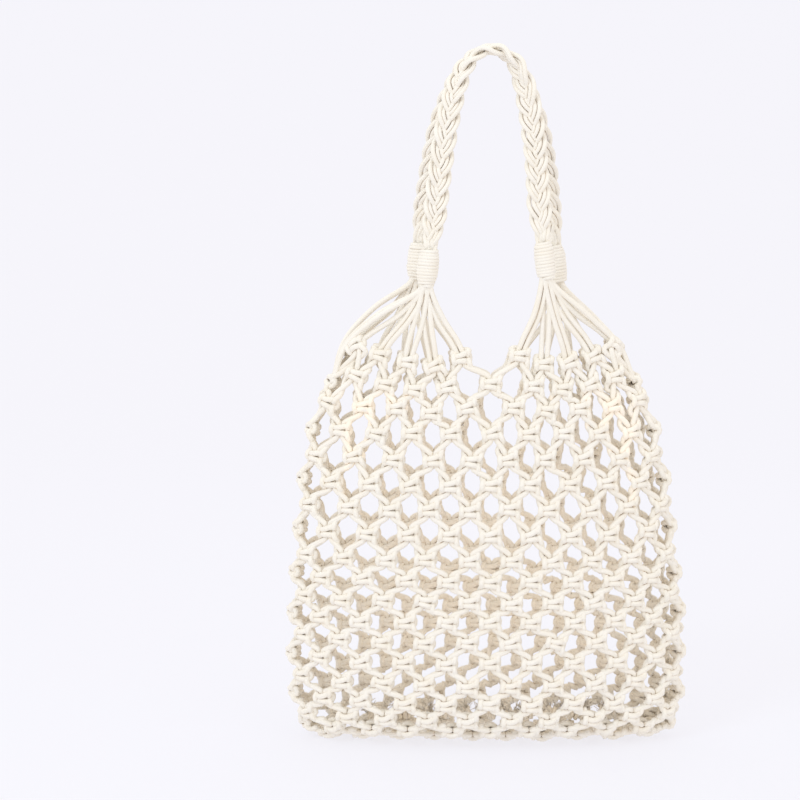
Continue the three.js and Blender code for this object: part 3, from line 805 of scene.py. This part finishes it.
def fan_route(side, front, pair, knots):
    """The line of one pair of fan cords from inside the collar to its knot, and that knot"""
    s = sizes()
    cord = s.cord / METRE
    top, bottom, down = collar_axis(side, front)
    quarter = s.around // 4
    at_side = pair == quarter
    place = quarter if at_side else pair + 0.5
    around = side * (place if front < 0 else s.around / 2 - place)
    if at_side:
        knot = knots[1][int(round(around)) % s.around]
        end = knot.middle + np.array([0.0, front * cord * 0.95, 0.0])
    else:
        knot = knots[0][int(math.floor(around)) % s.around]
        end = knot.place((0.0, 0.35, 0.0))
    spread = (place / quarter - 0.5) * 2
    level = np.cross(DEPTH_WAY, down)
    layer = front * (2.2 if pair % 2 == 0 else -1.2)
    start = bottom + down * 0.3 - level * side * spread * CORE_RADIUS * 0.45 + DEPTH_WAY * layer
    inside = start - down * 14.0 + level * side * spread * 1.2
    across, drop = SIDE_BEND[side] if at_side else FRONT_BEND
    bend = bottom + (end - bottom) * np.array([across, 0.4, drop])
    elbow = bottom + (end - bottom) * 0.8
    if at_side:
        across, drop = SIDE_ELBOW[side]
        elbow = bottom + (end - bottom) * np.array([across, 0.8, drop])
        elbow[1] = end[1] + front * cord * 0.2
    return np.array([inside, start, bend, elbow, end]), knot


# How far each cord of a pair keeps from the pair's middle, and how loosely it lies, at the five
# points of its line, in cord thicknesses
PAIR_APART = np.array([0.25, 0.42, 0.56, 0.54, 0.45])
PAIR_LOOSE = np.array([0.0, 0.0, 0.4, 0.3, 0.0])


class BAG_OT_fans(bpy.types.Operator):
    """Spreads six pairs of cords from each collar to the first knots of the net"""

    bl_idname = "string_bag.fans"
    bl_label = "Fanned Cords"

    def execute(self, context):
        s = sizes()
        cord = s.cord / METRE
        knots = net_knots()
        chance = np.random.default_rng(41)
        for name, (side, front, _) in LEGS.items():
            cords = CordMesh()
            for pair in range(s.around // 4 + 1):
                route, knot = fan_route(side, front, pair, knots)
                for hand in (-1.0, 1.0):
                    apart = PAIR_APART * cord * hand
                    loose = PAIR_LOOSE * cord
                    line = route + knot.right * apart[:, None]
                    line = line + knot.out * (loose * chance.normal(0, 0.7))[:, None]
                    line = line + knot.right * (loose * chance.normal(0, 0.5))[:, None]
                    tone = chance.uniform(0.0, 0.22)
                    cords.cord(line, cord * 0.95, tone, STEP, chance.uniform(0, 9))
            piece = cords.make(f"fan_cords_{name}", bag_material("plait_cotton"))
            finish_piece(piece, "plait_cord", f"fan_{name}")
        return {"FINISHED"}


# The wound cord: its turns, the points in each and its usual radius, and by side of the bag the
# radius at the cord's cut ends and how far it is drawn in at the bottom
WRAP_TURNS = 12
WRAP_STEPS = 26
WRAP_RADIUS = 8.9
WRAP_FORM = {-1: (5.4, 2.3), 1: (5.0, 1.1)}


class BAG_OT_collars(bpy.types.Operator):
    """Winds a cord tightly around each foot of the handles"""

    bl_idname = "string_bag.collars"
    bl_label = "Wrapped Collars"

    def execute(self, context):
        s = sizes()
        length = s.collar_length / METRE
        turns = WRAP_TURNS
        pitch = length / turns
        chance = np.random.default_rng(53)
        for name, (side, front, _) in LEGS.items():
            top, bottom, down = collar_axis(side, front)
            level = unit(np.cross(DEPTH_WAY, down))
            depth = np.cross(down, level)
            f = np.linspace(0.0, 1.0, WRAP_STEPS * turns + 1)
            angle = f * turns * 2 * math.pi + chance.uniform(0, 6.3)
            uneven = np.interp(f * turns, np.arange(turns + 1), chance.normal(0, 0.13, turns + 1))
            ends = smooth_step(np.minimum(f, 1 - f) * turns / 0.35)
            # The cord is wound tighter over the first and last third of the collar
            core, taper = WRAP_FORM[side]
            drawn_in = taper * smooth_step((f - 0.66) / 0.34) + 1.7 * (1 - smooth_step(f / 0.3))
            radius = core + 2.9 * ends + uneven - drawn_in
            radial = level * np.cos(angle)[:, None] + depth * np.sin(angle)[:, None]
            slip = np.interp(f * turns, np.arange(turns + 1), chance.normal(0, 0.14, turns + 1))
            height = pitch / 2 + f * (length - pitch) + slip
            path = top + down * height[:, None] + radial * radius[:, None]
            lengths = f * turns * 2 * math.pi * WRAP_RADIUS
            along = np.broadcast_to(down, path.shape)
            cords = CordMesh(10)
            tone = chance.uniform(0, 0.1)
            cords.tube(path, lengths, radial, along, 1.35, pitch * 0.56, tone)
            piece = cords.make(f"wrap_{name}", bag_material("wrap_cotton"))
            finish_piece(piece, "wrap_cord", f"collar_{name}")
        return {"FINISHED"}


# The frayed seam: its length, its tufts, the cord ends in each and the fibres at each end
SEAM_LENGTH = 222.0
TUFTS = 13
TUFT_ENDS = 3
END_FIBRES = 22


class BAG_OT_tails(bpy.types.Operator):
    """Leaves the cut cord ends standing frayed inside the bottom seam"""

    bl_idname = "string_bag.tails"
    bl_label = "Frayed Tails"

    def execute(self, context):
        s = sizes()
        cord = s.cord / METRE
        chance = np.random.default_rng(61)
        cords = CordMesh(8)
        fibres = CordMesh(3)
        seam_bottom = node_bottom("seam_tails")
        for tuft in range(TUFTS):
            x = (tuft / (TUFTS - 1) - 0.5) * SEAM_LENGTH + chance.normal(0, 2.5)
            for _ in range(TUFT_ENDS):
                lean = chance.normal(0, 0.35, 2)
                aside = x + chance.uniform(-6, 6)
                root = np.array([aside, chance.uniform(-2.2, 2.2), seam_bottom + 2.6])
                tall = chance.uniform(8.0, 13.0)
                tip = root + np.array([lean[0] * tall, lean[1] * tall * 0.5, tall])
                bend = (root + tip) / 2 + np.array([chance.normal(0, 1.2), chance.normal(0, 0.6), 0])
                cords.cord([root, bend, tip], cord * 0.82, chance.uniform(0.1, 0.4), 2.0)
                way = unit(tip - bend)
                for _ in range(END_FIBRES):
                    spray = unit(way + chance.normal(0, 0.45, 3) * np.array([1, 0.6, 1]))
                    base = tip + chance.normal(0, 0.9, 3) - way * chance.uniform(0.5, 8.0)
                    reach = chance.uniform(5.0, 12.0)
                    middle = base + spray * reach * 0.5
                    outer = base + unit(spray + chance.normal(0, 0.25, 3)) * reach
                    fibres.cord([base, middle, outer], 0.7, chance.uniform(0.0, 0.5), 2.2)
        stubs = cords.make("tail_stubs", bag_material("cotton_cord"))
        finish_piece(stubs, "tail_fibre", "seam_tails")
        frays = fibres.make("tail_frays", bag_material("frayed_cotton"))
        finish_piece(frays, "tail_fibre", "seam_tails")
        return {"FINISHED"}


# How far the lowest cords hang below the solid net
CORD_BELOW_NET = 5.6
# The backdrop in metres: how far it reaches to the front, back, up and sides, and its bend
SWEEP_FRONT, SWEEP_BACK, SWEEP_RISE, SWEEP_SIDE, SWEEP_BEND = -3.0, 2.2, 3.0, 5.0, 0.9
# The lamps around the bag: name, place in metres, size and power. All aim at the bag's middle.
LAMPS = (
    ("key", (-1.3, -1.6, 1.2), 0.8, 12.0),
    ("fill", (1.5, -1.5, 0.3), 1.4, 3.0),
    ("top", (0.0, 0.2, 1.9), 2.0, 5.0),
)
LAMP_AIM = Vector((0.0, 0.0, -0.35))
LAMP_COLOUR = (0.80, 1.0, 1.19)
WORLD_LIGHT = (1.0, 0.95, 0.91, 1.0)
WORLD_SEEN = (0.922, 0.913, 0.963, 1.0)


def add_sweep(scene, floor_height):
    """A plain floor that bends up into the backdrop"""
    bend_start = SWEEP_BACK - SWEEP_BEND
    profile = [(SWEEP_FRONT, floor_height), (bend_start, floor_height)]
    for step in range(1, 13):
        angle = step / 12 * math.pi / 2
        profile.append((
            bend_start + SWEEP_BEND * math.sin(angle),
            floor_height + SWEEP_BEND - SWEEP_BEND * math.cos(angle),
        ))
    profile.append((SWEEP_BACK, floor_height + SWEEP_RISE))
    points = [(x, y, z) for y, z in profile for x in (-SWEEP_SIDE, SWEEP_SIDE)]
    faces = [(2 * k, 2 * k + 1, 2 * k + 3, 2 * k + 2) for k in range(len(profile) - 1)]
    mesh = bpy.data.meshes.new("sweep")
    mesh.from_pydata(points, [], faces)
    mesh.polygons.foreach_set("use_smooth", [True] * len(faces))
    sweep = bpy.data.objects.new("sweep", mesh)
    scene.collection.objects.link(sweep)
    paper = bpy.data.materials.new("paper_sweep")
    paper.use_nodes = True
    shader = paper.node_tree.nodes["Principled BSDF"]
    shader.inputs["Base Color"].default_value = (0.22, 0.22, 0.23, 1.0)
    shader.inputs["Emission Color"].default_value = (*colours().floor, 1.0)
    shader.inputs["Emission Strength"].default_value = 0.768
    shader.inputs["Roughness"].default_value = 0.95
    shader.inputs["Specular IOR Level"].default_value = 0.1
    mesh.materials.append(paper)


def add_world(scene):
    """Soft warm light from all around, seen by the camera in the backdrop's own colour"""
    world = bpy.data.worlds.new("studio")
    world.use_nodes = True
    tree = world.node_tree
    light = tree.nodes["Background"]
    light.inputs["Color"].default_value = WORLD_LIGHT
    light.inputs["Strength"].default_value = 0.955
    seen = put(tree, "ShaderNodeBackground", {"Color": WORLD_SEEN})
    from_camera = put(tree, "ShaderNodeLightPath", {}).outputs["Is Camera Ray"]
    inputs = {0: from_camera, 1: light.outputs["Background"], 2: seen.outputs["Background"]}
    both = put(tree, "ShaderNodeMixShader", inputs)
    tree.links.new(both.outputs["Shader"], tree.nodes["World Output"].inputs["Surface"])
    scene.world = world


def add_lamp(scene, name, place, way, size, power, colour):
    """An area lamp that shines along a direction"""
    lamp = bpy.data.lights.new(name, "AREA")
    lamp.energy = power
    lamp.size = size
    lamp.color = colour
    holder = bpy.data.objects.new(name, lamp)
    holder.location = place
    holder.rotation_euler = way.to_track_quat("-Z", "Y").to_euler()
    scene.collection.objects.link(holder)
    return holder


def add_camera(scene):
    """The photo's angle: a little from above, with the bag to the right of the middle"""
    camera = bpy.data.cameras.new("camera")
    camera.lens = 100.0
    elevation = math.radians(8.0)
    distance = 2.0
    target = Vector((-0.080, 0.0, -0.309))
    back = Vector((0.0, -math.cos(elevation), math.sin(elevation))) * distance
    viewer = bpy.data.objects.new("camera", camera)
    viewer.location = target + back
    viewer.rotation_euler = (-back).to_track_quat("-Z", "Y").to_euler()
    scene.collection.objects.link(viewer)
    scene.camera = viewer


class BAG_OT_stage(bpy.types.Operator):
    """Sets the pale floor and backdrop, soft lights and the camera"""

    bl_idname = "string_bag.stage"
    bl_label = "Stage"

    def execute(self, context):
        scene = context.scene
        deselect_all()
        add_sweep(scene, (node_bottom("net_body") - CORD_BELOW_NET) * METRE)
        add_world(scene)
        for name, place, size, power in LAMPS:
            add_lamp(scene, name, place, LAMP_AIM - Vector(place), size, power, LAMP_COLOUR)
        # A weak warm lamp inside the bag shines on the back net
        inside = add_lamp(
            scene, "glow", (0.0, -0.03, -0.45), Vector((0.0, 1.0, 0.0)), 0.26, 0.036, (1.0, 0.60, 0.20)
        )
        inside.data.shape = "RECTANGLE"
        inside.data.size_y = 0.30
        inside.visible_camera = False
        scene.view_settings.view_transform = "Standard"
        add_camera(scene)
        return {"FINISHED"}


class BAG_PT_panel(bpy.types.Panel):
    """Lists the bag's pieces in the sidebar"""

    bl_idname = "BAG_PT_panel"
    bl_label = "String Bag"
    bl_space_type = "VIEW_3D"
    bl_region_type = "UI"
    bl_category = "String Bag"

    def draw(self, context):
        for operator in OPERATORS:
            self.layout.operator(operator.bl_idname)


OPERATORS = (BAG_OT_stage, BAG_OT_net, BAG_OT_handles, BAG_OT_fans, BAG_OT_collars, BAG_OT_tails)
CLASSES = (BagSizes, BagColours, *OPERATORS, BAG_PT_panel)


def register():
    for cls in CLASSES:
        bpy.utils.register_class(cls)
    bpy.types.Scene.bag_sizes = bpy.props.PointerProperty(type=BagSizes)
    bpy.types.Scene.bag_colours = bpy.props.PointerProperty(type=BagColours)


def unregister():
    del bpy.types.Scene.bag_colours
    del bpy.types.Scene.bag_sizes
    for cls in reversed(CLASSES):
        bpy.utils.unregister_class(cls)


def main():
    register()
    bpy.ops.string_bag.stage()
    bpy.ops.string_bag.net()
    bpy.ops.string_bag.handles()
    bpy.ops.string_bag.fans()
    bpy.ops.string_bag.collars()
    bpy.ops.string_bag.tails()


if __name__ == "__main__":
    main()
